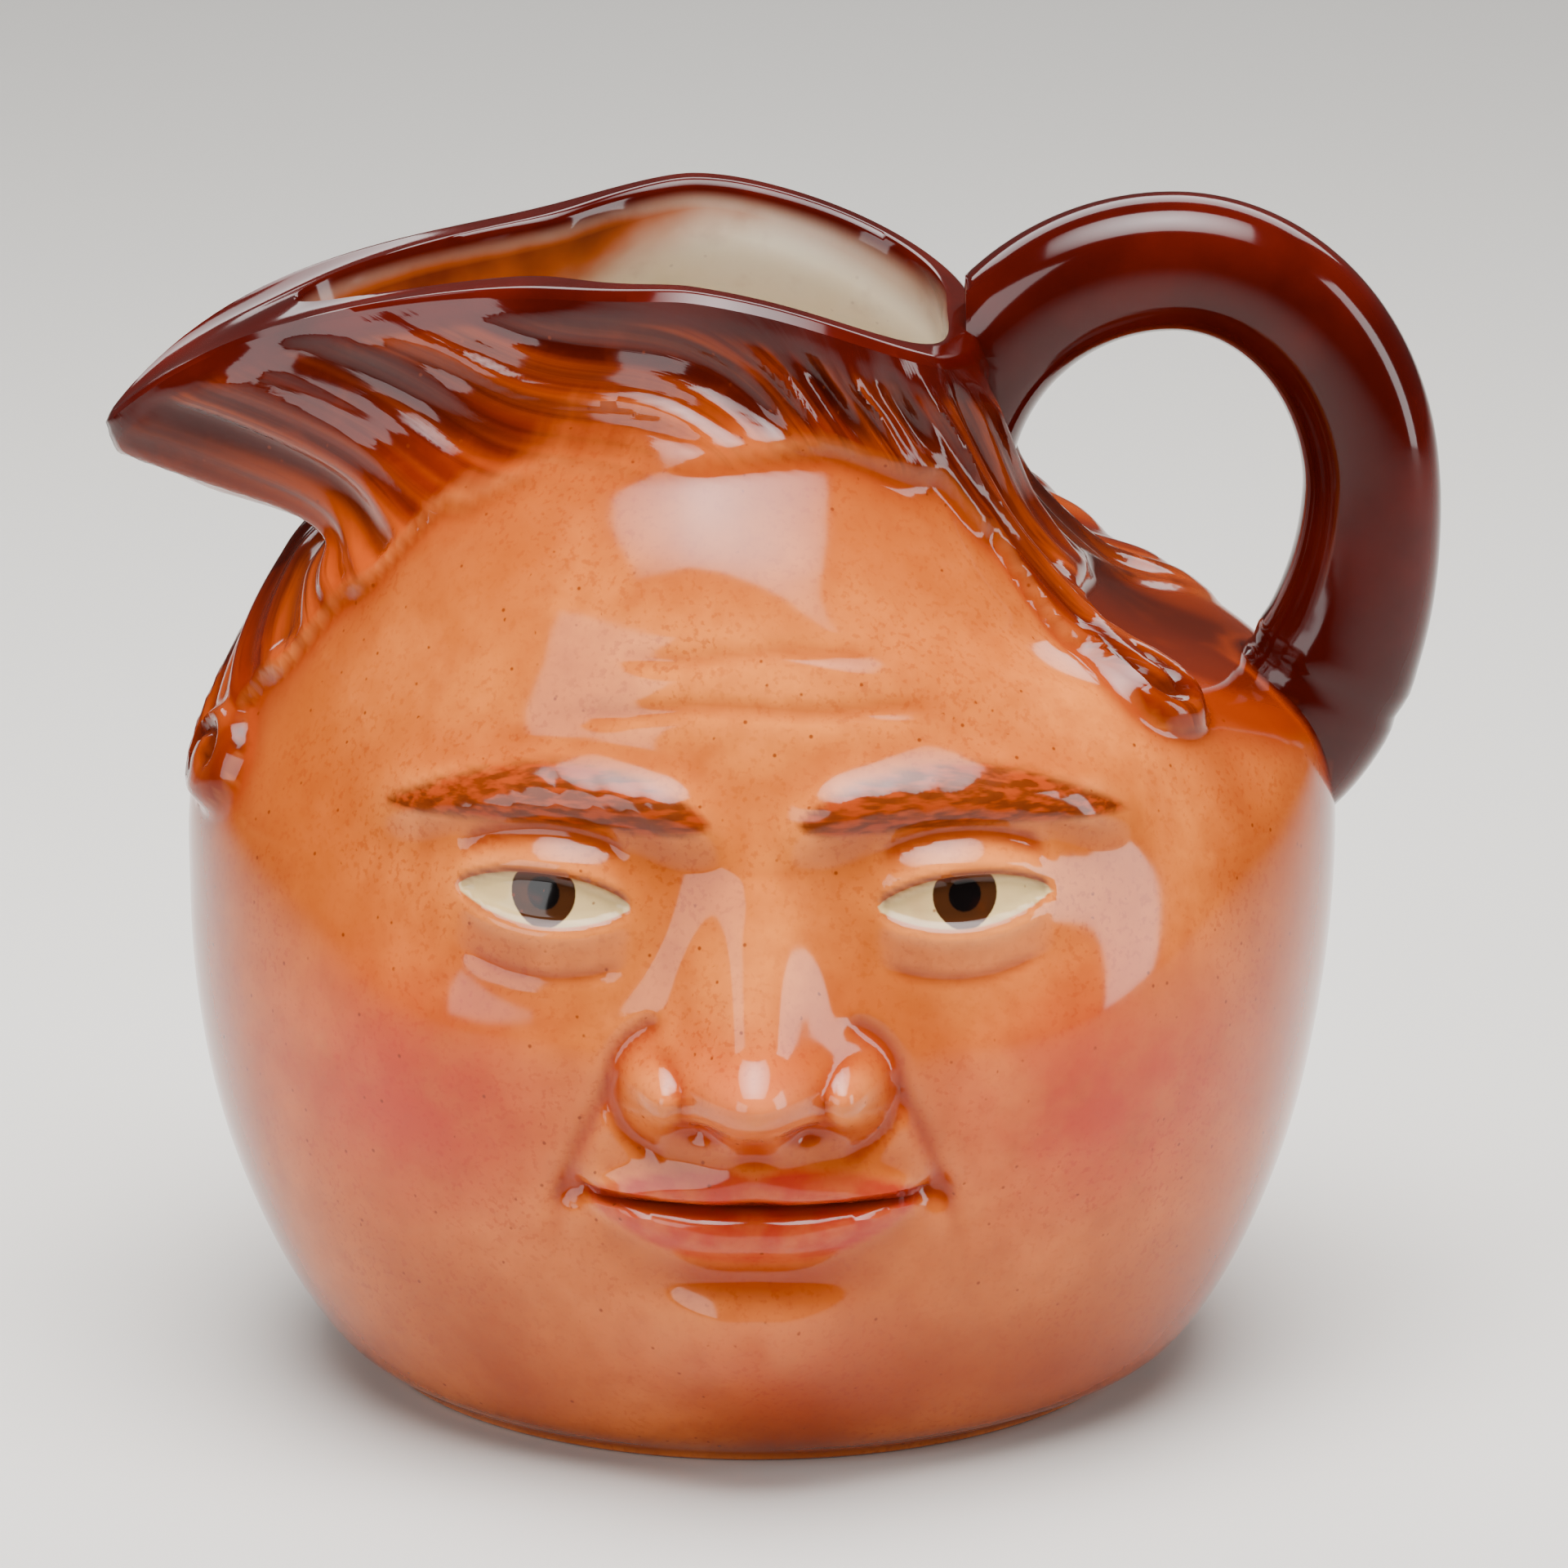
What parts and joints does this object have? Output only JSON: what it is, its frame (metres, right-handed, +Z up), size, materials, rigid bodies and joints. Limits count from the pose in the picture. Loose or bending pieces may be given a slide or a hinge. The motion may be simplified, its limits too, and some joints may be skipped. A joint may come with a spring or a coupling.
{
  "type": "toby jug",
  "caption": "Glazed pottery toby jug shaped as a head, hair sweeping into a pointed peak over the brow, with a loop handle at the side.",
  "frame": {"origin": "on the table under the middle of the jug's overall length and depth", "axes": "+Z up, the face looks along -Y, the peak of the hair points along -X and the handle is at +X"},
  "size_m": [0.183, 0.163, 0.1637],
  "materials": {
    "painted_glaze": "glossy clear glaze over painted skin, chestnut hair, dark red-brown rim and handle, and a cream inside"
  },
  "bodies": {
    "root": {"toby_jug": "painted_glaze"}
  },
  "joints": []
}
